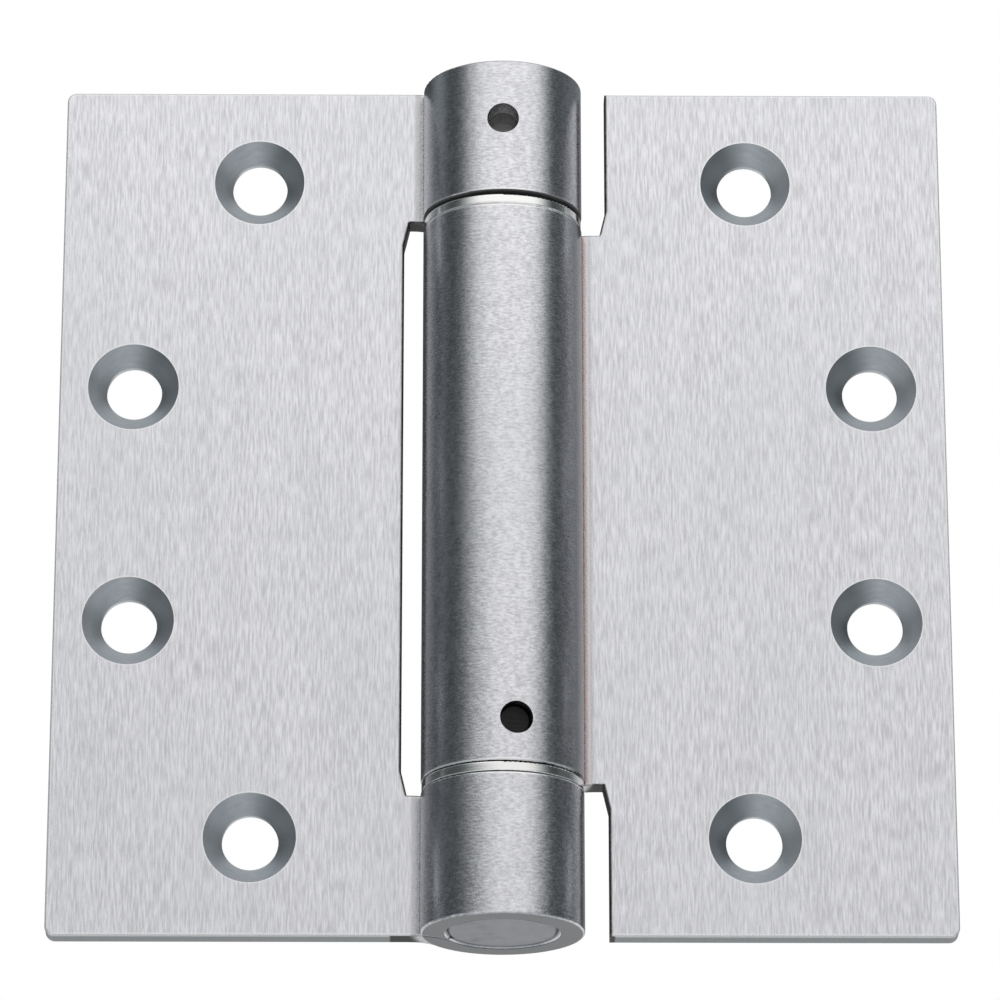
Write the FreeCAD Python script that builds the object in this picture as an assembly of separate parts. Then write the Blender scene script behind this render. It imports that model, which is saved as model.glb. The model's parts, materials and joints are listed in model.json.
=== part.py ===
# Spring loaded door hinge, open flat: two rolled leaves, bearing rings, bushes, spring and adjuster
import FreeCAD, Part
import math
import os

# Frame: origin on the hinge's pin axis at mid height, +Z up along the pin, +X out over the
# door leaf, -X out over the frame leaf, -Y out of the countersunk faces. Millimetres.
INCH = 25.4

# Leaves
leaf_height = 4.5 * INCH
leaf_width = 2.25 * INCH          # from the pin axis to a leaf's outer edge
sheet = 3.4                       # plate thickness, and the wall of every knuckle
leaf_setback = 0.8                # countersunk face behind the plane of the pin axis
leaf_corner_radius = 1.2
edge_round = 0.3                  # all round the flat faces and the rolls' ends
sheared_corner = 0.25             # corners of the roll's end
barrel_radius = 10.3
bend_radius = 4.0                 # inner radius where the plate bends into the roll
seam_slit = 0.1                   # between the roll's end and the leaf
knuckle_length = 18.25            # each end knuckle of the frame leaf
notch_clearance = 1.0846          # frame leaf's edge beyond its bend, beside the barrel
door_notch_clearance = 1.6846     # door leaf's edge beyond its bend, beside the end knuckles
notch_corner_width = 0.75
notch_corner_height = 3.2

# Countersunk screw holes, on the usual template for this size
screw_hole_radius = 9 / 64 * INCH
countersink_radius = 5.85
countersink_angle = 82.0
end_hole_margin = 0.5 * INCH      # end holes to the leaf's end
end_hole_reach = 1.25 * INCH      # end holes to the pin axis
side_hole_margin = 0.375 * INCH   # side holes to the leaf's outer edge
side_hole_rise = 0.625 * INCH     # side holes to mid height

# Bearing rings and running gaps along the pin
ring_thickness = 1.25
ring_inset = 0.1                  # ring's rim inside the barrel's outer surface
ring_edge_round = 0.2
lower_float = 0.1                 # barrel above the lower ring
upper_float = 0.45                # top knuckle above the upper ring
ring_hole_clearance = 0.15

# Bushes
bush_wall = 1.6
upper_bush_length = 8.0
lower_bush_length = 2.6
running_clearance = 0.05          # radial, of each shaft in its bore
bush_chamfer = 0.3

# Tension collar and its snap ring
collar_recess = 2.55              # collar's top face below the top of the hinge
collar_shoulder_gap = 0.4         # collar's shoulder above the top knuckle's lower end
collar_chamfer = 0.4
hex_across_flats = 3 / 16 * INCH
hex_socket_depth = 7.0
step_holes = 4
step_hole_radius = 2.0
step_hole_depth = 3.0
lock_hole_radius = 2.05
lock_hole_from_end = 8.15         # lock hole below the top of the hinge
knuckle_mouth_chamfer = 0.45
snap_ring_thickness = 1.0
snap_ring_width = 1.3
snap_ring_bite = 0.5              # groove's depth into the knuckle's wall
snap_ring_play = 0.1
snap_ring_gap_angle = 34.0
snap_ring_lug_reach = 2.0         # lugs inwards of the ring
snap_ring_lug_width = 2.6
snap_ring_lug_hole_radius = 0.6

# Torsion spring, and the slotted noses that hold its ends
wire_share = 0.197                # wire's radius over the barrel's bore radius
coil_bore_gap = 0.4               # coils inside the barrel's bore
least_coil_gap = 0.1              # between neighbouring coils
tang_inner_bend = 0.6             # inside radius where the wire turns in across the axis
tang_end_reach = 2.6              # tang's end beyond the pin axis
tang_side_clearance = 0.15
coil_face_gap = 0.3
nose_clearance = 0.7              # noses inside the end coils
nose_length = 4.0

# Lower anchor and pintle
anchor_hole_radius = 2.1
anchor_hole_from_end = 5.6        # anchor hole above the barrel's lower end
anchor_hole_turn = 9.5            # anchor hole round from the front towards the door leaf
anchor_plug_length = 6.2          # without its nose
anchor_pin_sink = 1.6             # pin's end below the barrel's surface
anchor_pin_chamfer = 0.3
anchor_pin_far_wall = 1.0         # plug left behind the pin's inner end
pintle_recess = 0.2
pintle_chamfer = 0.35
pintle_top_gap = 0.4
pintle_tip_chamfer = 0.6

# Places worked out from the sizes above
half_height = leaf_height / 2
face_y = leaf_setback
back_y = leaf_setback + sheet
bore_radius = barrel_radius - sheet
bend_reach = barrel_radius + bend_radius
bend_centre_y = back_y + bend_radius
bend_centre_x = math.sqrt(bend_reach ** 2 - bend_centre_y ** 2)
knuckle_face = half_height - knuckle_length
barrel_bottom = -knuckle_face + ring_thickness + lower_float
barrel_top = knuckle_face - ring_thickness - upper_float
bush_bore_radius = bore_radius - bush_wall
journal_radius = bush_bore_radius - running_clearance
wire_radius = wire_share * bore_radius
closest_pitch = 2 * wire_radius + least_coil_gap
coil_radius = bore_radius - coil_bore_gap - wire_radius
tang_bend_radius = wire_radius + tang_inner_bend
nose_radius = coil_radius - wire_radius - nose_clearance
slot_width = 2 * (wire_radius + tang_side_clearance)
lock_hole_z = half_height - lock_hole_from_end
anchor_hole_z = barrel_bottom + anchor_hole_from_end
anchor_plug_bottom = barrel_bottom + lower_bush_length
anchor_plug_top = anchor_plug_bottom + anchor_plug_length
collar_top = half_height - collar_recess
collar_shoulder = knuckle_face + collar_shoulder_gap
journal_bottom = barrel_top - upper_bush_length - bush_chamfer
groove_bottom = collar_top + snap_ring_play
groove_radius = bore_radius + snap_ring_bite
coil_bottom = anchor_plug_top + coil_face_gap + wire_radius
coil_top = journal_bottom - coil_face_gap - wire_radius

UP = FreeCAD.Vector(0, 0, 1)
OUTWARDS = FreeCAD.Vector(0, -1, 0)


def vec(x, y, z=0.0):
    return FreeCAD.Vector(x, y, z)


def cylinder(radius, bottom, top):
    return Part.makeCylinder(radius, top - bottom, vec(0, 0, bottom), UP)


def tube(outer, inner, bottom, top):
    return cylinder(outer, bottom, top).cut(cylinder(inner, bottom - 1, top + 1))


def turned(points):
    """Solid of revolution about the pin axis from a closed outline of (radius, height) points."""
    outline = [vec(radius, 0, z) for radius, z in points]
    face = Part.Face(Part.makePolygon(outline + outline[:1]))
    return face.revolve(vec(0, 0, 0), UP, 360)


def radial_hole(radius, inner, outer, z, turn=0.0):
    """Cylinder along a radius, from inner to outer, round from the front by turn degrees."""
    hole = Part.makeCylinder(radius, outer - inner, OUTWARDS * inner + UP * z, OUTWARDS)
    hole.rotate(vec(0, 0, 0), UP, turn)
    return hole


def on_circle(centre, radius, toward):
    """Point on a circle about centre, on the ray that leaves centre for toward."""
    ray = toward - centre
    return centre + ray * (radius / ray.Length)


def circle_crossing(radius, other_centre, other_radius):
    """Where a circle about the pin axis meets another circle, on the front side of their line."""
    reach = other_centre.Length
    along = (radius ** 2 - other_radius ** 2 + reach ** 2) / (2 * reach)
    aside = math.sqrt(radius ** 2 - along ** 2)
    direction = other_centre * (1 / reach)
    return direction * along + vec(direction.y, -direction.x) * aside


def arc_about(centre, start, end, middle_toward):
    """Arc about centre from start to end, past the ray that leaves centre for middle_toward."""
    radius = (start - centre).Length
    return Part.Arc(start, on_circle(centre, radius, middle_toward), end).toShape()


def roll_end_corner(radius, side):
    """Where the roll's end meets a circle about the pin axis, rounded.

    side is +1 on the bore, whose metal lies outside it, and -1 on the outer surface. Returns the
    rounding's centre, its point on the circle, and its point on the roll's end.
    """
    bend_centre = vec(bend_centre_x, bend_centre_y)
    end_radius = bend_radius + sheet + seam_slit
    centre = circle_crossing(radius + side * sheared_corner, bend_centre, end_radius + sheared_corner)
    return centre, on_circle(vec(0, 0), radius, centre), on_circle(bend_centre, end_radius, centre)


def rolled_plate():
    """The door leaf's sheet over the full height: flat plate, bend, and roll about the pin axis."""
    axis = vec(0, 0)
    bend_centre = vec(bend_centre_x, bend_centre_y)
    outer_start = on_circle(axis, barrel_radius, bend_centre)
    inner_start = on_circle(axis, bore_radius, bend_centre)
    outer_corner, outer_end, end_outer = roll_end_corner(barrel_radius, -1)
    inner_corner, inner_end, end_inner = roll_end_corner(bore_radius, 1)
    away = vec(-1, 0)
    back_edge = vec(leaf_width, back_y)
    face_edge = vec(leaf_width, face_y)
    back_tangent = vec(bend_centre_x, back_y)
    face_tangent = vec(bend_centre_x, face_y)
    bend_middle = (back_tangent + outer_start) * 0.5
    edges = [
        Part.makeLine(back_edge, back_tangent),
        arc_about(bend_centre, back_tangent, outer_start, bend_middle),
        arc_about(axis, outer_start, outer_end, away),
        arc_about(outer_corner, outer_end, end_outer, (outer_end + end_outer) * 0.5),
        arc_about(bend_centre, end_outer, end_inner, (end_outer + end_inner) * 0.5),
        arc_about(inner_corner, end_inner, inner_end, (end_inner + inner_end) * 0.5),
        arc_about(axis, inner_end, inner_start, away),
        arc_about(bend_centre, inner_start, face_tangent, bend_middle),
        Part.makeLine(face_tangent, face_edge),
        Part.makeLine(face_edge, back_edge),
    ]
    section = Part.Face(Part.Wire(edges))
    section.translate(vec(0, 0, -half_height))
    return section.extrude(UP * leaf_height)


def block_from_outline(points):
    """A block through the whole depth of the hinge from an outline of (x, z) points."""
    depth = 2 * barrel_radius
    outline = [vec(x, -depth, z) for x, z in points]
    return Part.Face(Part.makePolygon(outline + outline[:1])).extrude(vec(0, 2 * depth, 0))


def middle_window(edge, corner, bottom, top, far):
    """What is cut out between the end knuckles, with the leaf's edge slanted near each knuckle."""
    return block_from_outline([
        (-far, bottom), (edge - corner, bottom), (edge, bottom + notch_corner_height),
        (edge, top - notch_corner_height), (edge - corner, top), (-far, top),
    ])


def end_notch(edge, corner, inner, outer, far):
    """What is cut out beyond one end of the barrel; inner and outer are heights."""
    slant = math.copysign(notch_corner_height, outer - inner)
    return block_from_outline([
        (-far, inner), (edge - corner, inner), (edge, inner + slant), (edge, outer), (-far, outer),
    ])


def screw_places():
    places = []
    for side in (-1, 1):
        places.append((end_hole_reach, side * (half_height - end_hole_margin)))
        places.append((leaf_width - side_hole_margin, side * side_hole_rise))
    return places


def screw_hole(x, z):
    """A through hole with its countersink in the face that looks along -Y."""
    depth = (countersink_radius - screw_hole_radius) / math.tan(math.radians(countersink_angle / 2))
    over = sheet
    slope = (countersink_radius - screw_hole_radius) / depth
    cone = Part.makeCone(countersink_radius + slope * over, screw_hole_radius, depth + over,
                         vec(x, face_y - over, z), vec(0, 1, 0))
    shank = Part.makeCylinder(screw_hole_radius, 3 * sheet, vec(x, face_y - sheet, z), vec(0, 1, 0))
    return cone.fuse(shank)


def edges_where(shape, test):
    return [edge for edge in shape.Edges if test(edge)]


def is_corner_post(edge):
    """True for the two short edges through the plate at a leaf's outer corners."""
    box = edge.BoundBox
    return (box.XLength < 1e-6 and box.ZLength < 1e-6
            and abs(abs(box.XMin) - leaf_width) < 1e-6
            and abs(abs(box.ZMin) - half_height) < 1e-6)


def edges_in_plane(shape, y):
    """The outline edges of a leaf's flat face; a round runs on from them along the roll's ends."""
    return edges_where(shape, lambda edge: edge.BoundBox.YLength < 1e-6
                       and abs(edge.BoundBox.YMin - y) < 1e-6)


def finish_leaf(leaf):
    """Rounds the outer corners, breaks the stamped edges and drills the screw holes."""
    leaf = leaf.makeFillet(leaf_corner_radius, edges_where(leaf, is_corner_post))
    outlines = edges_in_plane(leaf, face_y) + edges_in_plane(leaf, back_y)
    leaf = leaf.makeFillet(edge_round, outlines)
    for x, z in screw_places():
        leaf = leaf.cut(screw_hole(x, z))
    return leaf


def door_leaf():
    """Plate with the long middle barrel, notched at both ends for the frame leaf's knuckles."""
    edge = bend_centre_x + door_notch_clearance
    far = 2 * barrel_radius
    leaf = rolled_plate()
    for inner, outer in ((barrel_top, half_height + 1), (barrel_bottom, -half_height - 1)):
        leaf = leaf.cut(end_notch(edge, notch_corner_width, inner, outer, far))
    leaf = finish_leaf(leaf)
    return leaf.cut(radial_hole(anchor_hole_radius, bore_radius - 1, barrel_radius + 1,
                                anchor_hole_z, anchor_hole_turn))


def frame_leaf():
    """Plate with the top and bottom knuckles, the snap ring's groove and the lock hole."""
    edge = bend_centre_x + notch_clearance
    leaf = rolled_plate()
    leaf = leaf.cut(middle_window(edge, notch_corner_width, -knuckle_face, knuckle_face,
                                  2 * barrel_radius))
    leaf = finish_leaf(leaf)
    leaf = leaf.mirror(vec(0, 0, 0), vec(1, 0, 0))
    leaf = leaf.cut(cylinder(groove_radius, groove_bottom,
                             groove_bottom + snap_ring_thickness + snap_ring_play))
    for end in (-1, 1):
        mouth = bore_radius + knuckle_mouth_chamfer
        leaf = leaf.cut(turned([
            (0, end * half_height), (mouth, end * half_height),
            (bore_radius, end * (half_height - knuckle_mouth_chamfer)),
            (0, end * (half_height - knuckle_mouth_chamfer)),
        ]))
    return leaf.cut(radial_hole(lock_hole_radius, bore_radius - 1, barrel_radius + 1, lock_hole_z))


def bearing_ring(bottom):
    """Flat polished ring that keeps two knuckle ends apart."""
    rim = barrel_radius - ring_inset
    ring = tube(rim, journal_radius + ring_hole_clearance, bottom, bottom + ring_thickness)
    rims = edges_where(ring, lambda edge: isinstance(edge.Curve, Part.Circle)
                       and abs(edge.Curve.Radius - rim) < 1e-6)
    return ring.makeFillet(ring_edge_round, rims)


def bush(bottom, top):
    """Sleeve pressed into the barrel's mouth, chamfered inside at both ends."""
    wide = bush_bore_radius + bush_chamfer
    return turned([
        (wide, bottom), (bore_radius, bottom), (bore_radius, top), (wide, top),
        (bush_bore_radius, top - bush_chamfer), (bush_bore_radius, bottom + bush_chamfer),
    ])


def tang_slot(bottom, top):
    """A slot along X right across the pin axis, for a spring tang."""
    reach = 2 * barrel_radius
    return Part.makeBox(reach, slot_width, top - bottom, vec(-reach / 2, -slot_width / 2, bottom))


def hexagon(across_flats, bottom, top):
    corner = across_flats / math.sqrt(3)
    points = [vec(corner * math.cos(math.radians(60 * i)), corner * math.sin(math.radians(60 * i)),
                  bottom) for i in range(7)]
    return Part.Face(Part.makePolygon(points)).extrude(UP * (top - bottom))


def tension_collar():
    """Turned collar: drilled head in the top knuckle, journal in the bush, nose in the spring."""
    head = bore_radius - running_clearance
    nose_bottom = journal_bottom - nose_length
    collar = turned([
        (0, nose_bottom), (nose_radius, nose_bottom), (nose_radius, journal_bottom),
        (journal_radius, journal_bottom), (journal_radius, collar_shoulder),
        (head - collar_chamfer, collar_shoulder), (head, collar_shoulder + collar_chamfer),
        (head, collar_top - collar_chamfer), (head - collar_chamfer, collar_top), (0, collar_top),
    ])
    collar = collar.cut(hexagon(hex_across_flats, collar_top - hex_socket_depth, collar_top + 1))
    for i in range(step_holes):
        collar = collar.cut(radial_hole(step_hole_radius, head - step_hole_depth, head + 1,
                                        lock_hole_z, i * 360 / step_holes))
    return collar.cut(tang_slot(nose_bottom - 1, journal_bottom))


def gap_wedge(half_angle, bottom, top):
    """A wedge from the pin axis outwards at the back, wide by half_angle to each side."""
    reach = 2 * barrel_radius
    side = reach * math.sin(math.radians(half_angle))
    back = reach * math.cos(math.radians(half_angle))
    corners = [vec(0, 0, bottom), vec(side, back, bottom), vec(-side, back, bottom), vec(0, 0, bottom)]
    return Part.Face(Part.makePolygon(corners)).extrude(UP * (top - bottom))


def collar_snap_ring():
    """Open ring that springs into the groove above the collar, with two lugs for pliers."""
    bottom = groove_bottom + snap_ring_play / 2
    top = bottom + snap_ring_thickness
    inner = bore_radius - snap_ring_width
    half_gap = snap_ring_gap_angle / 2
    ring = tube(groove_radius - snap_ring_play, inner, bottom, top)
    ring = ring.cut(gap_wedge(half_gap, bottom - 1, top + 1))
    lug_inner = inner - snap_ring_lug_reach
    lug_outer = inner + snap_ring_width / 2
    lug_turn = half_gap + math.degrees(math.atan2(snap_ring_lug_width / 2, inner))
    for side in (-1, 1):
        lug = Part.makeBox(snap_ring_lug_width, lug_outer - lug_inner, snap_ring_thickness,
                           vec(-snap_ring_lug_width / 2, lug_inner, bottom))
        hole = Part.makeCylinder(snap_ring_lug_hole_radius, snap_ring_thickness + 2,
                                 vec(0, (inner + lug_inner) / 2, bottom - 1), UP)
        lug = lug.cut(hole)
        lug.rotate(vec(0, 0, 0), UP, side * lug_turn)
        ring = ring.fuse(lug)
    return ring.removeSplitter()


def tang_bend_angle():
    """Angle about the pin axis that the wire still turns through after it leaves the coil."""
    return math.degrees(math.asin(tang_bend_radius / (coil_radius - tang_bend_radius)))


def spring_tang(z, slope):
    """Path of a right-hand coil's upper end: a tight bend, then straight across along -X."""
    bend_angle = math.radians(tang_bend_angle())
    centre = vec((coil_radius - tang_bend_radius) * math.cos(bend_angle), -tang_bend_radius, z)
    start = vec(coil_radius * math.cos(bend_angle), -coil_radius * math.sin(bend_angle), z)
    middle_angle = (math.pi / 2 - bend_angle) / 2
    middle = centre + vec(math.cos(middle_angle), math.sin(middle_angle)) * tang_bend_radius
    end = vec(centre.x, 0, z)
    arc = Part.Arc(start, middle, end).toShape()
    straight = Part.makeLine(end, vec(-tang_end_reach, 0, z))
    tang = Part.Wire([arc, straight])
    tang.rotate(start, vec(start.x, start.y), slope)
    return tang


def torsion_spring():
    """Left-hand close coil, swept right-hand and mirrored, with a tang across the axis each end."""
    height = coil_top - coil_bottom
    bend_turns = 2 * tang_bend_angle() / 360
    half_turns = math.floor(2 * (height / closest_pitch + bend_turns))
    pitch = height / (half_turns / 2 - bend_turns)
    slope = math.degrees(math.atan(pitch / (2 * math.pi * coil_radius)))
    coil = Part.makeHelix(pitch, height, coil_radius)
    coil.translate(vec(0, 0, coil_bottom))
    coil.rotate(vec(0, 0, 0), UP, tang_bend_angle())
    upper_tang = spring_tang(coil_top, slope)
    upper_tang.rotate(vec(0, 0, 0), UP, 180 * (half_turns % 2))
    lower_tang = spring_tang(-coil_bottom, slope)
    lower_tang.rotate(vec(0, 0, 0), vec(1, 0, 0), 180)
    path = Part.Wire(Part.sortEdges(lower_tang.Edges + coil.Edges + upper_tang.Edges)[0])
    first = path.OrderedEdges[0]
    profile = Part.makeCircle(wire_radius, first.firstVertex(True).Point, first.tangentAt(0))
    spring = path.makePipeShell([Part.Wire(profile)], True, False)
    print("spring volume over section times length:",
          round(spring.Volume / (math.pi * wire_radius ** 2 * path.Length), 5))
    return spring.mirror(vec(0, 0, 0), vec(0, 1, 0))


def anchor_pin_hole():
    return radial_hole(anchor_hole_radius, anchor_pin_far_wall - bore_radius, bore_radius + 1,
                       anchor_hole_z, anchor_hole_turn)


def anchor_plug():
    """Plug that the pin locks in the barrel, with a slotted nose inside the lowest coil."""
    nose_top = anchor_plug_top + nose_length
    plug = turned([
        (0, anchor_plug_bottom), (bore_radius, anchor_plug_bottom), (bore_radius, anchor_plug_top),
        (nose_radius, anchor_plug_top), (nose_radius, nose_top), (0, nose_top),
    ])
    return plug.cut(tang_slot(anchor_plug_top, nose_top + 1)).cut(anchor_pin_hole())


def anchor_pin():
    """Pin through the barrel's front wall into the anchor plug, sunk in its hole."""
    inner = anchor_pin_far_wall - bore_radius
    outer = barrel_radius - anchor_pin_sink
    pin = Part.makeCylinder(anchor_hole_radius, outer - inner, OUTWARDS * inner + UP * anchor_hole_z,
                            OUTWARDS)
    rims = edges_where(pin, lambda edge: edge.BoundBox.YMax < -outer + 1e-3)
    pin = pin.makeChamfer(anchor_pin_chamfer, rims)
    pin.rotate(vec(0, 0, 0), UP, anchor_hole_turn)
    return pin


def bottom_pintle():
    """Plug pressed into the bottom knuckle, with the journal that the lower bush turns on."""
    bottom = -half_height + pintle_recess
    shoulder = -knuckle_face
    tip = anchor_plug_bottom - pintle_top_gap
    return turned([
        (0, bottom), (bore_radius - pintle_chamfer, bottom),
        (bore_radius, bottom + pintle_chamfer), (bore_radius, shoulder),
        (journal_radius, shoulder), (journal_radius, tip - pintle_tip_chamfer),
        (journal_radius - pintle_tip_chamfer, tip), (0, tip),
    ])


nodes = {
    "frame_leaf": frame_leaf(),
    "door_leaf": door_leaf(),
    "upper_bearing_ring": bearing_ring(barrel_top),
    "lower_bearing_ring": bearing_ring(-knuckle_face),
    "upper_bush": bush(barrel_top - upper_bush_length, barrel_top),
    "lower_bush": bush(barrel_bottom, barrel_bottom + lower_bush_length),
    "tension_collar": tension_collar(),
    "collar_snap_ring": collar_snap_ring(),
    "torsion_spring": torsion_spring(),
    "anchor_plug": anchor_plug(),
    "anchor_pin": anchor_pin(),
    "bottom_pintle": bottom_pintle(),
}

os.makedirs("parts", exist_ok=True)
for name, shape in nodes.items():
    print(name, "valid" if shape.isValid() else "NOT VALID", len(shape.Solids), round(shape.Volume, 2))
    shape.exportStep("parts/" + name + ".step")
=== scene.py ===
import bmesh
import bpy
import json
import math
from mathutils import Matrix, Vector

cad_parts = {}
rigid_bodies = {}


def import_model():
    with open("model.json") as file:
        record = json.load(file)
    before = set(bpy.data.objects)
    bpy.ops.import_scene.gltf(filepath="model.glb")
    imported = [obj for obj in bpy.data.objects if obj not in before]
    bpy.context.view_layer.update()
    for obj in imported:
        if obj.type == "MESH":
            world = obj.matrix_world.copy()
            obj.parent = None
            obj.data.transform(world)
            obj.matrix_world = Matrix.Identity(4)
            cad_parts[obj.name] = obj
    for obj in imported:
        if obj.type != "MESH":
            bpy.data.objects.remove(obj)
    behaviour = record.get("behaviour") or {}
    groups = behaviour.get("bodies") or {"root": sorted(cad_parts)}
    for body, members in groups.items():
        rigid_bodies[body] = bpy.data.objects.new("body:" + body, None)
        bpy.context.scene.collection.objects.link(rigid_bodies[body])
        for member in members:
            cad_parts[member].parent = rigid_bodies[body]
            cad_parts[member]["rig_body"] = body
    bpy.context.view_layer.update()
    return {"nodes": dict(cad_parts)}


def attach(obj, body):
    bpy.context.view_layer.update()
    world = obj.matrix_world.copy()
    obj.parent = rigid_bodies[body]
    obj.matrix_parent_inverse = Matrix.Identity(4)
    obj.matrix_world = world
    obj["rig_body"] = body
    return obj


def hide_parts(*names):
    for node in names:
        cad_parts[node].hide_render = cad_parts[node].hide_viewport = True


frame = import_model()

MILLIMETRES_IN_A_METRE = 1000.0

# The hinge's own measures in millimetres, seen from the middle of the pin axis
HALF_SIZE = 57.15
PLATE_FRONT = 0.8
PLATE_BACK = 4.2
BARREL_RADIUS = 10.3
BORE_RADIUS = 6.9
KNUCKLE_FACE = 38.9
BARREL_TOP = 37.2
BARREL_BOTTOM = -37.55
BARREL_END = 37.4  # stands for both ends where the finish treats them alike
FRAME_NOTCH_EDGE = 12.8
DOOR_NOTCH_EDGE = 13.4
NOTCH_CORNER_WIDTH = 0.75
NOTCH_CORNER_HEIGHT = 3.2
KNUCKLE_EDGE = FRAME_NOTCH_EDGE - NOTCH_CORNER_WIDTH
COUNTERSINK_RADIUS = 5.85
END_HOLE = (31.75, 44.45)
SIDE_HOLE = (47.625, 15.875)
BEND_RADII = (4.0, 7.4)
BEND_AXIS_Y = PLATE_BACK + BEND_RADII[0]
BEND_AXIS_X = math.sqrt((BARREL_RADIUS + BEND_RADII[0]) ** 2 - BEND_AXIS_Y ** 2)

# From where to where a finish of the leaves lies or fades, in millimetres, or radians for a turn
ROLL_FADE = (BARREL_RADIUS + 0.15, BARREL_RADIUS + 1.6)
BORE_FADE = (BORE_RADIUS + 0.1, BORE_RADIUS + 0.3)
ROLL_END = (BORE_RADIUS + 0.35, BARREL_RADIUS - 0.35)
ROLL_END_FADE = (HALF_SIZE - 0.1, HALF_SIZE - 0.05)
CUT_EDGE = (PLATE_FRONT + 0.25, PLATE_BACK - 0.25)
FRONT_FADE = (PLATE_FRONT + 0.3, PLATE_FRONT + 0.8)
SUNK_FADE = (COUNTERSINK_RADIUS - 0.015, COUNTERSINK_RADIUS + 0.005)
SUNK_RIM = (COUNTERSINK_RADIUS + 0.01, COUNTERSINK_RADIUS + 0.1)
NOTCH_FADE = (BARREL_RADIUS + 3.6, BARREL_RADIUS + 3.9)
FRAME_NOTCH_END = (KNUCKLE_FACE, KNUCKLE_FACE + 0.1)
DOOR_NOTCH_END = (BARREL_END - 0.1, BARREL_END)
NOTCH_LINE_FADE = (0.18, 0.42)
NOTCH_LINE_START = (BARREL_RADIUS + 0.9, BARREL_RADIUS + 1.2)
KNUCKLE_END = (KNUCKLE_FACE - 0.04, KNUCKLE_FACE + 0.15)
KNUCKLE_END_FADE = (KNUCKLE_EDGE, KNUCKLE_EDGE + 0.1)
SHADED_TURN_FADE = (0.92, 1.16)
SHADED_TOP_FADE = (BARREL_END + 0.2, BARREL_END + 0.4)
BRINK_FADE = (HALF_SIZE - 0.4, HALF_SIZE - 0.25)
KNUCKLE_FACE_BRINK = (KNUCKLE_FACE + 0.05, KNUCKLE_FACE + 0.3)
BARREL_TOP_BRINK = (BARREL_TOP - 0.3, BARREL_TOP - 0.1)
BARREL_BOTTOM_BRINK = (BARREL_BOTTOM + 0.1, BARREL_BOTTOM + 0.25)
FRAME_SEAM = (BARREL_RADIUS + 0.5, BARREL_RADIUS + 0.9)
DOOR_BEND = (BARREL_RADIUS + 0.2, BARREL_RADIUS + 0.7)
STAIN = (BARREL_RADIUS - 0.1, BARREL_RADIUS + 0.1)

# How near a facet's corner has to be to a round surface in millimetres, how well the facet has to
# face along that surface's normal, and how well along x, y or z to count as flat
SURFACE_REACH = 0.03
LEAST_FACING = 0.98
FLAT_FACING = 0.99995

# Painted shade on one side of each countersink, aimed as shares towards the pin and towards the
# top, and where this painted shade and the painted highlight on the side away from the pin fade in
WALL_SHADE_AIM = (0.9, 0.43)
WALL_SHADE_FADE = (0.25, 0.95)
WALL_SHINE_FADE = (0.3, 1.0)

# Reflection of the painted notch shade and of the worn outlines with their painted highlight,
# where the surface is less than bare metal
PLAIN_REFLECTION = 0.1

# The room's light. Heights run from -1 straight below to 1 straight above, and turns are degrees
# round the pin from the front. Shifts give degrees by height, and levels give light by height
# in front, and by turn to the sides and below. LOWER_FADE and UNDERNEATH_FADE are depths, which
# are heights turned over.
FRONT_RIGHT_SHIFT = ((0.265, -9.0), (0.29, 3.0), (0.36, 4.0), (0.42, 11.0))
FRONT_RIGHT_FADE = (38.0, 72.0)
FRONT_LEFT_SHIFT = ((0.265, 24.0), (0.29, 5.0), (0.34, -5.0), (0.38, -13.0), (0.425, -3.0))
FRONT_LEFT_FADE = (24.0, 64.0)
FRONT_LEVELS = ((0.05, 0.84), (0.33, 0.92), (0.5, 1.42), (0.8, 1.65))
SIDE_LEVELS = ((-180.0, 0.10), (-134.0, 0.07), (-106.0, 0.28), (-86.0, 0.07),
               (76.0, 0.05), (106.0, 0.13), (130.0, 0.18), (170.0, 0.3))
OVERHEAD_FADE = (0.6, 0.9)
OVERHEAD_LEVEL = 0.6
LOWER_LEVELS = ((24.0, 0.95), (52.0, 0.55), (74.0, 0.32), (98.0, 0.32),
                (128.0, 0.9), (150.0, 0.9), (172.0, 0.72))
LOWER_FADE = (-0.06, 0.1)
UNDERNEATH_FADE = (0.6, 0.95)
UNDERNEATH_LEVEL = 0.56
SEEN_LEVEL = 1.0
DIM_TINT = (0.91, 1.0, 1.04, 1.0)
BRIGHT_TINT = (1.0, 1.0, 1.0, 1.0)
TINT_FADE = (0.3, 0.8)

# Floor and camera, in metres, and the lens in millimetres
FLOOR_HALF_SIZE = 4.0
FLOOR_HEIGHT = -0.7
FLOOR_TONE = 0.82
FLOOR_SEEN_TONE = 0.3
FLOOR_SEEN_GLOW = 0.82
CAMERA_PLACE = Vector((-0.0058, -0.6597, -0.2335))
CAMERA_TARGET = Vector((-0.00032, 0.0, 0.00022))
SENSOR_WIDTH = 36.0
FOCAL_LENGTH = 196.8
CLIP_RANGE = (0.01, 20.0)


class Level:
    """A value that varies over a surface or a room. Sums and products of it add Math nodes."""

    def __init__(self, recipe, socket):
        self.recipe = recipe
        self.socket = socket

    def math(self, operation, *others):
        inputs = dict(enumerate((self,) + others))
        return self.recipe.node("ShaderNodeMath", {"operation": operation}, inputs)

    def output(self, name):
        return Level(self.recipe, self.socket.node.outputs[name])

    def __add__(self, other):
        return self.math("ADD", other)

    def __sub__(self, other):
        return self.math("SUBTRACT", other)

    def __mul__(self, other):
        return self.math("MULTIPLY", other)

    def __truediv__(self, other):
        return self.math("DIVIDE", other)

    def __rsub__(self, other):
        return self.recipe.node("ShaderNodeMath", {"operation": "SUBTRACT"}, {0: other, 1: self})

    def __abs__(self):
        return self.math("ABSOLUTE")

    __radd__ = __add__
    __rmul__ = __mul__


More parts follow.
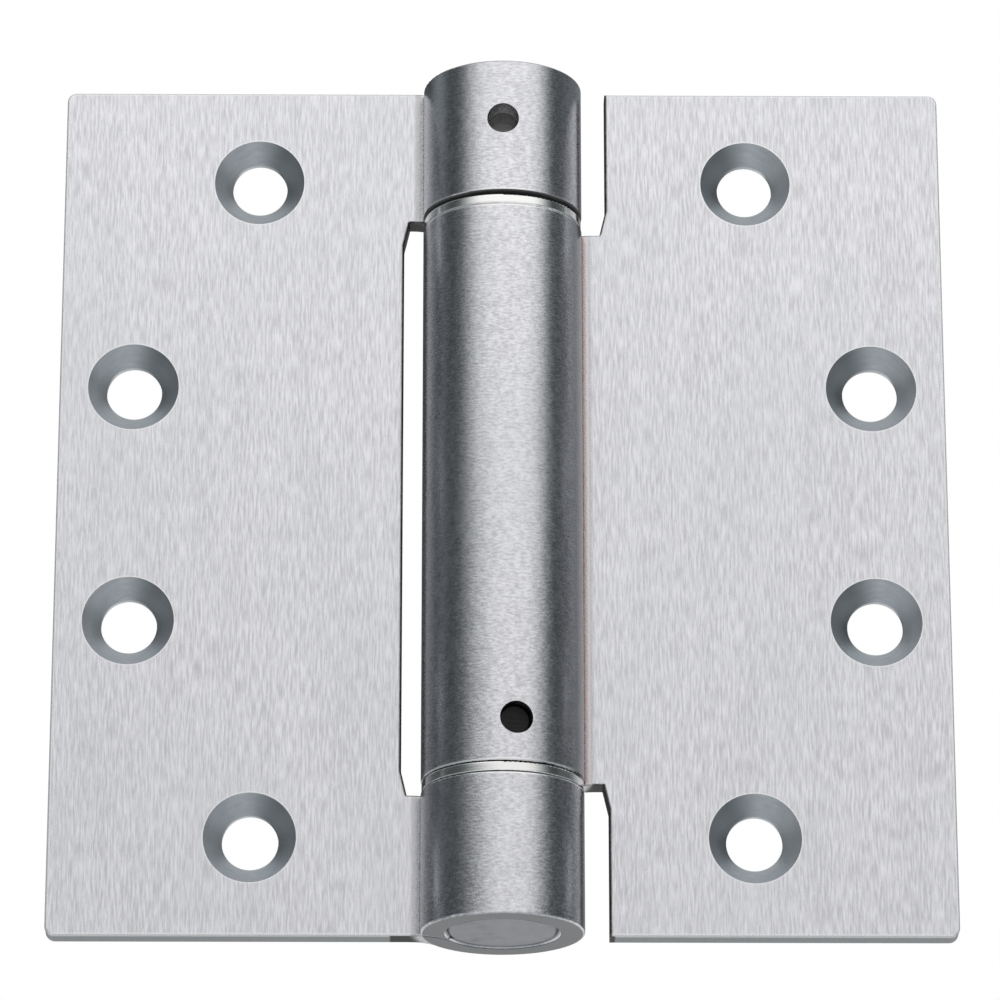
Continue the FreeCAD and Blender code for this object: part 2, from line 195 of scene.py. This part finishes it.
class Recipe:
    """The nodes of one finish, or of the room's light."""

    def __init__(self, tree):
        self.tree = tree
        self.tree.nodes.clear()

    def node(self, kind, settings=None, inputs=None, output=0):
        node = self.tree.nodes.new(kind)
        for name, setting in (settings or {}).items():
            setattr(node, name, setting)
        for name, value in (inputs or {}).items():
            if isinstance(value, Level):
                self.tree.links.new(value.socket, node.inputs[name])
            else:
                node.inputs[name].default_value = value
        if len(node.outputs) == 0:
            return None
        return Level(self, node.outputs[output])

    def place(self):
        """x, y and z on the piece, in millimetres."""
        point = self.node("ShaderNodeTexCoord", output="Object")
        scaled = self.node("ShaderNodeVectorMath", {"operation": "SCALE"},
                           {"Vector": point, "Scale": MILLIMETRES_IN_A_METRE})
        x = self.node("ShaderNodeSeparateXYZ", inputs={"Vector": scaled}, output="X")
        return x, x.output("Y"), x.output("Z")

    def round_pin(self, x, y):
        """Distance from the pin axis, and the angle round it from straight in front."""
        return (x * x + y * y).math("SQRT"), x.math("ARCTAN2", y * -1)

    def join(self, x, y, z):
        return self.node("ShaderNodeCombineXYZ", inputs={"X": x, "Y": y, "Z": z})

    def length(self, x, y):
        return self.node("ShaderNodeVectorMath", {"operation": "LENGTH"},
                         {0: self.join(x, y, 0.0)}, output="Value")

    def noise(self, measures, density, detail=2.0, roughness=0.5):
        """Noise over three measures, with so many grains per millimetre or radian of each."""
        grains = [measure * along for measure, along in zip(measures, density)]
        return self.node("ShaderNodeTexNoise",
                         inputs={"Vector": self.join(*grains), "Scale": 1.0, "Detail": detail,
                                 "Roughness": roughness}, output="Fac")

    def rise(self, value, low, high):
        """0 below low, 1 above high, and smooth between them."""
        return self.node("ShaderNodeMapRange", {"interpolation_type": "SMOOTHSTEP"},
                         {"Value": value, "From Min": low, "From Max": high})

    def fall(self, value, low, high):
        """1 below low, 0 above high, and smooth between them."""
        return 1 - self.rise(value, low, high)

    def between(self, value, low, high, soft):
        """1 from low to high, falling to 0 over soft on both sides."""
        return self.rise(value, low - soft, low) - self.rise(value, high, high + soft)

    def slope(self, value, low, high):
        """Straight line from 0 at low to 1 at high."""
        return self.node("ShaderNodeMapRange",
                         inputs={"Value": value, "From Min": low, "From Max": high})

    def line(self, value, points):
        """Smooth line through points of value and level."""
        level = points[0][1]
        for (low, first), (high, second) in zip(points, points[1:]):
            level = self.rise(value, low, high) * (second - first) + level
        return level

    def choose(self, factor, first, second):
        """Number from first at 0 to second at 1."""
        return first * (1 - factor) + second * factor

    def mix(self, factor, first, second):
        """Colour from first at 0 to second at 1."""
        return self.node("ShaderNodeMix", {"data_type": "RGBA"}, {0: factor, 6: first, 7: second},
                         output=2)

    def cover(self, tone, *layers):
        """Lays colours over a tone, each as (how much of it covers, colour)."""
        for amount, colour in layers:
            tone = self.mix(amount, tone, colour)
        return tone


def grey(level, blue=0.0):
    """Grey of one level, with a share of it more in the blue."""
    return (level, level, level * (1 + blue), 1.0)


def metal(name):
    """A new material, its recipe, and a function that feeds the metal's sockets."""
    material = bpy.data.materials.new(name)
    material.use_nodes = True
    recipe = Recipe(material.node_tree)

    def finish(colour, roughness, height, depth, bare=1.0):
        normal = recipe.node("ShaderNodeBump", inputs={"Height": height, "Distance": depth})
        surface = recipe.node("ShaderNodeBsdfPrincipled", inputs={
            "Base Color": colour, "Metallic": bare, "Roughness": roughness, "Normal": normal,
            "Specular IOR Level": PLAIN_REFLECTION})
        recipe.node("ShaderNodeOutputMaterial", inputs={"Surface": surface})
        return material

    return recipe, finish


class LeafPlace:
    """A point of a leaf, from the pin axis, from mid height and from its nearest screw hole."""

    def __init__(self, recipe):
        self.x, self.y, self.z = recipe.place()
        self.out = abs(self.x)
        self.up = abs(self.z)
        self.radius, self.turn = recipe.round_pin(self.x, self.y)
        end_out = self.out - END_HOLE[0]
        end_up = self.up - END_HOLE[1]
        side_out = self.out - SIDE_HOLE[0]
        side_up = self.up - SIDE_HOLE[1]
        end_reach = recipe.length(end_out, end_up)
        side_reach = recipe.length(side_out, side_up)
        self.reach = end_reach.math("MINIMUM", side_reach)
        at_end = self.up.math("GREATER_THAN", (END_HOLE[1] + SIDE_HOLE[1]) / 2)
        at_side = 1 - at_end
        # Direction from the hole's middle, as shares towards the pin and towards the top
        self.to_pin = (end_out * at_end + side_out * at_side) * -1 / self.reach
        self.to_top = (end_up * at_end + side_up * at_side) * self.z.math("SIGN") / self.reach
        self.hole_turn = self.to_pin.math("ARCTAN2", self.to_top)


class LeafZones:
    """Where each finish of a leaf lies, from 0 to 1."""

    def __init__(self, recipe, at):
        rise, fall, between = recipe.rise, recipe.fall, recipe.between
        in_front = fall(at.y, *FRONT_FADE)
        self.roll = fall(at.radius, *ROLL_FADE)
        self.bore = fall(at.radius, *BORE_FADE)
        self.roll_end = between(at.radius, *ROLL_END, soft=0.15) * rise(at.up, *ROLL_END_FADE)

        # Countersinks: the wall, its rim, painted shade on its side towards the pin and a painted
        # highlight on its side away from it
        self.sunk = fall(at.reach, *SUNK_FADE)
        self.rim = between(at.reach, *SUNK_RIM, soft=0.1) * (1 - self.sunk)
        shade_aim = at.to_pin * WALL_SHADE_AIM[0] + at.to_top * WALL_SHADE_AIM[1]
        self.pin_side_painted_shade = rise(shade_aim, *WALL_SHADE_FADE)
        self.far_side_painted_highlight = rise(at.to_pin * -1, *WALL_SHINE_FADE)

        # Sheared edges, and painted shade on them and on the knuckles' faces inside the notches
        self.cut_edge = between(at.y, *CUT_EDGE, soft=0.1) * (1 - self.roll) * (1 - self.sunk)
        knuckle_end = between(at.up, *KNUCKLE_END, soft=0.03) * fall(at.out, *KNUCKLE_END_FADE)
        in_notch = self.cut_edge * fall(at.out, *NOTCH_FADE)
        # Painted shade in the notches, near black and with its metal reflection taken away
        self.scaled = (in_notch + knuckle_end * 0.9).math("MINIMUM", 1.0)

        # Painted shade: a dark line on the front along the notches' edges
        frame_slant = recipe.slope(at.up, KNUCKLE_FACE - NOTCH_CORNER_HEIGHT, KNUCKLE_FACE)
        door_slant = 1 - recipe.slope(at.up, BARREL_END, BARREL_END + NOTCH_CORNER_HEIGHT)
        frame_edge = at.out - FRAME_NOTCH_EDGE + frame_slant * NOTCH_CORNER_WIDTH
        door_edge = at.out - DOOR_NOTCH_EDGE + door_slant * NOTCH_CORNER_WIDTH
        on_frame = (at.x * -1).math("GREATER_THAN", 0.0) * fall(at.up, *FRAME_NOTCH_END)
        on_door = at.x.math("GREATER_THAN", 0.0) * rise(at.up, *DOOR_NOTCH_END)
        lines = fall(frame_edge, *NOTCH_LINE_FADE) * on_frame
        lines = lines + fall(door_edge, *NOTCH_LINE_FADE) * on_door
        self.notch_edge_painted_shade = lines * rise(at.radius, *NOTCH_LINE_START)

        # Worn outlines of the plates, with a painted highlight on them too, and worn outlines of
        # the rolls
        outermost = at.out.math("MAXIMUM", at.up)
        self.wear_and_highlight_brink = rise(outermost, *BRINK_FADE) * in_front * (1 - self.roll)
        roll_brinks = between(at.up, *KNUCKLE_FACE_BRINK, soft=0.15)
        roll_brinks = roll_brinks + between(at.z, *BARREL_TOP_BRINK, soft=0.15)
        roll_brinks = roll_brinks + between(at.z, *BARREL_BOTTOM_BRINK, soft=0.15)
        self.roll_brink = roll_brinks * self.roll

        # Painted shade on the barrel's flank, and beside it the door leaf's bend and stain and
        # painted shade along the frame leaf's seam
        self.shaded = rise(at.turn, *SHADED_TURN_FADE) * self.roll * in_front
        self.shaded = self.shaded * fall(at.up, *SHADED_TOP_FADE)
        self.seam = between(at.x * -1, *FRAME_SEAM, soft=0.5) * in_front
        self.door_bend = between(at.x, *DOOR_BEND, soft=0.3) * in_front
        speckled = rise(recipe.noise((at.x, at.y, at.z), (2.0, 2.0, 0.9)), 0.4, 0.62)
        self.stain = between(at.x, *STAIN, soft=0.15) * speckled * in_front


def brushed_leaf_steel():
    """Leaves brushed lengthwise, rolls brushed round, turned countersinks and sheared edges."""
    recipe, finish = metal("brushed leaf steel")
    at = LeafPlace(recipe)
    zone = LeafZones(recipe, at)
    point = (at.x, at.y, at.z)
    round_point = (at.turn, at.radius, at.z)

    # Brushing, sheared grain and soft clouds
    fine = recipe.noise(point, (3.8, 3.8, 0.38), 2.0, 0.55)
    coarse = recipe.noise(point, (0.5, 0.5, 0.06), 2.0, 0.5)
    round_fine = recipe.noise(round_point, (14.0, 3.4, 3.4), 3.0, 0.65)
    round_coarse = recipe.noise(round_point, (12.0, 1.2, 0.9), 2.0, 0.5)
    turned = recipe.noise((at.reach, at.hole_turn, at.z), (3.0, 2.2, 0.05), 3.0, 0.6)
    sheared = recipe.noise(point, (2.2, 0.5, 2.2), 3.0, 0.6)
    cloud = recipe.noise(point, (0.05, 0.05, 0.035), 3.0, 0.5)
    specks = recipe.rise(recipe.noise(point, (2.5, 2.5, 1.8), 1.0, 0.5), 0.70, 0.80)
    straight = fine * 0.85 + coarse * 0.15
    around = round_fine * 0.7 + round_coarse * 0.3
    brushing = recipe.choose(zone.roll, straight, around)
    brushing = recipe.choose(zone.sunk, brushing, turned)
    brushing = recipe.choose(zone.cut_edge, brushing, sheared)

    # Colours, each laid over the ones before it
    plate = recipe.mix(recipe.rise(brushing, 0.28, 0.72), grey(0.52, 0.04), grey(0.78, 0.04))
    rolled = recipe.mix(recipe.rise(around, 0.3, 0.7), grey(0.49, 0.04), grey(0.81, 0.04))
    # The countersink wall: turned grain, with painted shade on the side towards the pin and a
    # painted highlight on the side away from it
    wall = recipe.cover(
        recipe.mix(turned, (0.42, 0.45, 0.48, 1.0), (0.72, 0.75, 0.78, 1.0)),
        (zone.pin_side_painted_shade * 0.9, (0.20, 0.22, 0.23, 1.0)),
        (zone.far_side_painted_highlight * 0.5, (0.86, 0.88, 0.90, 1.0)))
    tone = recipe.cover(
        plate,
        (zone.roll, rolled),
        (recipe.rise(cloud, 0.35, 0.75) * 0.25, (0.60, 0.61, 0.65, 1.0)),
        (zone.sunk, wall),
        (zone.cut_edge * 0.85, (0.24, 0.26, 0.27, 1.0)),
        # Worn plate outlines, brightened further as a painted highlight
        (zone.wear_and_highlight_brink * 0.8, grey(0.95)),
        (zone.roll_brink * 0.7, grey(0.92)),
        (zone.shaded * 0.72, (0.12, 0.125, 0.13, 1.0)),
        # Painted shade in the notches, near black
        (zone.scaled, grey(0.035)),
        # Painted shade along the notches' edges
        (zone.notch_edge_painted_shade * (0.6 + sheared * 0.6), (0.08, 0.075, 0.07, 1.0)),
        (zone.roll_end * 0.9, (0.075, 0.082, 0.09, 1.0)),
        (zone.bore, (0.16, 0.17, 0.17, 1.0)),
        (zone.rim * 0.6, grey(0.8)),
        # Painted shade along the frame leaf's seam next to the roll
        (zone.seam * 0.5, (0.34, 0.33, 0.33, 1.0)),
        (zone.door_bend * 0.9, (0.72, 0.655, 0.66, 1.0)),
        (zone.stain * 0.6, (0.40, 0.24, 0.22, 1.0)),
        (specks * 0.3, (0.30, 0.31, 0.33, 1.0)))

    roughness = 0.27 + (brushing - 0.5) * 0.16 + (cloud - 0.5) * 0.1
    roughness = recipe.choose(zone.sunk, roughness, 0.34)
    roughness = recipe.choose(zone.cut_edge, roughness, 0.42)
    # The painted notch shade and the worn outlines with their painted highlight are less than bare
    # metal
    bare = 1 - zone.scaled - zone.wear_and_highlight_brink * 0.6
    return finish(tone, roughness, brushing, depth=0.000025, bare=bare)


def polished_ring_steel():
    """Bearing rings, turned and polished, with fine lines round the rim."""
    recipe, finish = metal("polished ring steel")
    x, y, z = recipe.place()
    radius, turn = recipe.round_pin(x, y)
    lines = recipe.noise((turn, radius, z), (1.5, 5.0, 7.0), 2.0, 0.5)
    smudge = recipe.noise((x, y, z), (0.4, 0.4, 0.4), 3.0, 0.5)
    tone = recipe.mix(lines, grey(0.84, -0.02), grey(0.93, -0.02))
    roughness = 0.10 + lines * 0.08 + smudge * 0.06
    return finish(tone, roughness, lines, depth=0.000004)


def turned_steel(name, dark, light, rough, blue=0.0):
    """Turned steel with fine lines round the pin axis and dull patches."""
    recipe, finish = metal(name)
    x, y, z = recipe.place()
    radius, turn = recipe.round_pin(x, y)
    lines = recipe.noise((turn, radius, z), (1.0, 4.0, 4.0), 3.0, 0.6)
    patches = recipe.noise((x, y, z), (0.5, 0.5, 0.5), 3.0, 0.6)
    tone = recipe.cover(
        recipe.mix(lines, grey(dark, blue), grey(light, blue)),
        (recipe.rise(patches, 0.55, 0.75) * 0.5, grey(dark * 0.7, blue)))
    roughness = rough + (patches - 0.5) * 0.2 + (lines - 0.5) * 0.1
    return finish(tone, roughness, lines, depth=0.00001)


def sintered_bronze():
    """Oil filled bush metal with fine open grain."""
    recipe, finish = metal("sintered bronze")
    grain = recipe.noise(recipe.place(), (6.0, 6.0, 6.0), 2.0, 0.6)
    tone = recipe.mix(grain, (0.42, 0.27, 0.13, 1.0), (0.66, 0.46, 0.26, 1.0))
    return finish(tone, 0.3 + grain * 0.2, grain, depth=0.000015)


def true_normal(point, facet):
    """Exact normal at a facet's corner, from its flat, roll, bend or bore, or None on the rest."""
    if max(abs(facet.x), abs(facet.y), abs(facet.z)) > FLAT_FACING:
        return facet
    side = math.copysign(1.0, point.x)
    roll = (0.0, 0.0, (BORE_RADIUS, BARREL_RADIUS))
    bend = (side * BEND_AXIS_X, BEND_AXIS_Y, BEND_RADII)
    for axis_x, axis_y, radii in (roll, bend):
        ray = Vector((point.x - axis_x, point.y - axis_y, 0.0))
        reach = ray.length
        if min(abs(reach - radius) for radius in radii) < SURFACE_REACH:
            ray.normalize()
            facing = facet.dot(ray)
            if abs(facing) > LEAST_FACING:
                return ray * math.copysign(1.0, facing)
    return None


def finished_leaf(name, material):
    """A copy of a leaf, shaded by its exact normals, that stands for it."""
    node = frame["nodes"][name]
    mesh = node.data.copy()
    mesh.name = name + "_finished"
    normals = [corner.vector.copy() for corner in mesh.corner_normals]
    for facet in mesh.polygons:
        for corner in facet.loop_indices:
            place = mesh.vertices[mesh.loops[corner].vertex_index].co
            exact = true_normal(place * MILLIMETRES_IN_A_METRE, facet.normal)
            if exact is not None:
                normals[corner] = exact.copy()
    mesh.shade_smooth()
    mesh.normals_split_custom_set(normals)
    piece = bpy.data.objects.new(name + "_finished", mesh)
    bpy.context.scene.collection.objects.link(piece)
    mesh.materials.clear()
    mesh.materials.append(material)
    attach(piece, node["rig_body"])
    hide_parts(name)


def give_finish(name, material):
    """Puts a material on a CAD piece."""
    for slot in frame["nodes"][name].material_slots:
        slot.material = material


def light_room():
    """Room for the metal to mirror: bright in front, dim to the sides and behind, paler below."""
    world = bpy.data.worlds.new("pale studio")
    bpy.context.scene.world = world
    world.use_nodes = True
    recipe = Recipe(world.node_tree)
    direction = recipe.node("ShaderNodeTexCoord", output="Generated")
    x = recipe.node("ShaderNodeSeparateXYZ", inputs={"Vector": direction}, output="X")
    y = x.output("Y")
    z = x.output("Z")
    turn = x.math("ARCTAN2", y * -1).math("MULTIPLY", 180 / math.pi)

    # Level with the hinge and above it
    from_right = turn - recipe.line(z, FRONT_RIGHT_SHIFT)
    from_left = recipe.line(z, FRONT_LEFT_SHIFT) - turn
    front = recipe.fall(from_right, *FRONT_RIGHT_FADE) - recipe.rise(from_left, *FRONT_LEFT_FADE)
    upper = recipe.choose(front, recipe.line(turn, SIDE_LEVELS), recipe.line(z, FRONT_LEVELS))
    upper = recipe.choose(recipe.rise(z, *OVERHEAD_FADE), upper, OVERHEAD_LEVEL)

    # Below it
    lower = recipe.line(abs(turn), LOWER_LEVELS)
    down = z * -1
    lower = recipe.choose(recipe.rise(down, *UNDERNEATH_FADE), lower, UNDERNEATH_LEVEL)
    level = recipe.choose(recipe.rise(down, *LOWER_FADE), upper, lower)

    # The camera itself sees a plain white room
    seen = recipe.node("ShaderNodeLightPath", output="Is Camera Ray")
    level = recipe.choose(seen, level, SEEN_LEVEL)
    tint = recipe.mix(recipe.rise(level, *TINT_FADE), DIM_TINT, BRIGHT_TINT)
    shade = recipe.node("ShaderNodeBackground", inputs={"Color": tint, "Strength": level})
    recipe.node("ShaderNodeOutputWorld", inputs={"Surface": shade})


def lay_floor():
    """Pale floor far below the hinge, white to the camera and left out of the metal's mirror."""
    ground = bmesh.new()
    bmesh.ops.create_grid(ground, x_segments=1, y_segments=1, size=FLOOR_HALF_SIZE)
    bmesh.ops.translate(ground, vec=(0.0, 0.0, FLOOR_HEIGHT), verts=ground.verts)
    mesh = bpy.data.meshes.new("floor")
    ground.to_mesh(mesh)
    ground.free()
    floor = bpy.data.objects.new("floor", mesh)
    bpy.context.scene.collection.objects.link(floor)
    material = bpy.data.materials.new("pale floor")
    material.use_nodes = True
    recipe = Recipe(material.node_tree)
    matt = recipe.node("ShaderNodeBsdfDiffuse", inputs={"Color": grey(FLOOR_TONE)})
    dim = recipe.node("ShaderNodeBsdfDiffuse", inputs={"Color": grey(FLOOR_SEEN_TONE)})
    glow = recipe.node("ShaderNodeEmission",
                       inputs={"Color": grey(1.0), "Strength": FLOOR_SEEN_GLOW})
    white = recipe.node("ShaderNodeAddShader", inputs={0: dim, 1: glow})
    seen = recipe.node("ShaderNodeLightPath", output="Is Camera Ray")
    surface = recipe.node("ShaderNodeMixShader", inputs={0: seen, 1: matt, 2: white})
    recipe.node("ShaderNodeOutputMaterial", inputs={"Surface": surface})
    mesh.materials.append(material)
    floor.visible_glossy = False


def set_camera():
    """Looks up at the hinge's front from below."""
    data = bpy.data.cameras.new("camera")
    data.sensor_width = SENSOR_WIDTH
    data.lens = FOCAL_LENGTH
    data.clip_start, data.clip_end = CLIP_RANGE
    camera = bpy.data.objects.new("camera", data)
    camera.location = CAMERA_PLACE
    camera.rotation_mode = "QUATERNION"
    camera.rotation_quaternion = (CAMERA_PLACE - CAMERA_TARGET).to_track_quat("Z", "Y")
    bpy.context.scene.collection.objects.link(camera)
    bpy.context.scene.camera = camera


leaf_steel = brushed_leaf_steel()
ring_steel = polished_ring_steel()
bush_bronze = sintered_bronze()
collar_steel = turned_steel("turned collar steel", dark=0.24, light=0.4, rough=0.35)
pintle_steel = turned_steel("turned pintle steel", dark=0.22, light=0.31, rough=0.32, blue=0.12)
black_steel = turned_steel("blackened steel", dark=0.012, light=0.03, rough=0.38)
spring_wire = turned_steel("oil tempered wire", dark=0.12, light=0.24, rough=0.35)

finished_leaf("frame_leaf", leaf_steel)
finished_leaf("door_leaf", leaf_steel)
give_finish("upper_bearing_ring", ring_steel)
give_finish("lower_bearing_ring", ring_steel)
give_finish("upper_bush", bush_bronze)
give_finish("lower_bush", bush_bronze)
give_finish("tension_collar", collar_steel)
give_finish("collar_snap_ring", black_steel)
give_finish("torsion_spring", spring_wire)
give_finish("anchor_plug", pintle_steel)
give_finish("anchor_pin", black_steel)
give_finish("bottom_pintle", pintle_steel)

light_room()
lay_floor()
set_camera()
bpy.context.scene.view_settings.view_transform = "Standard"
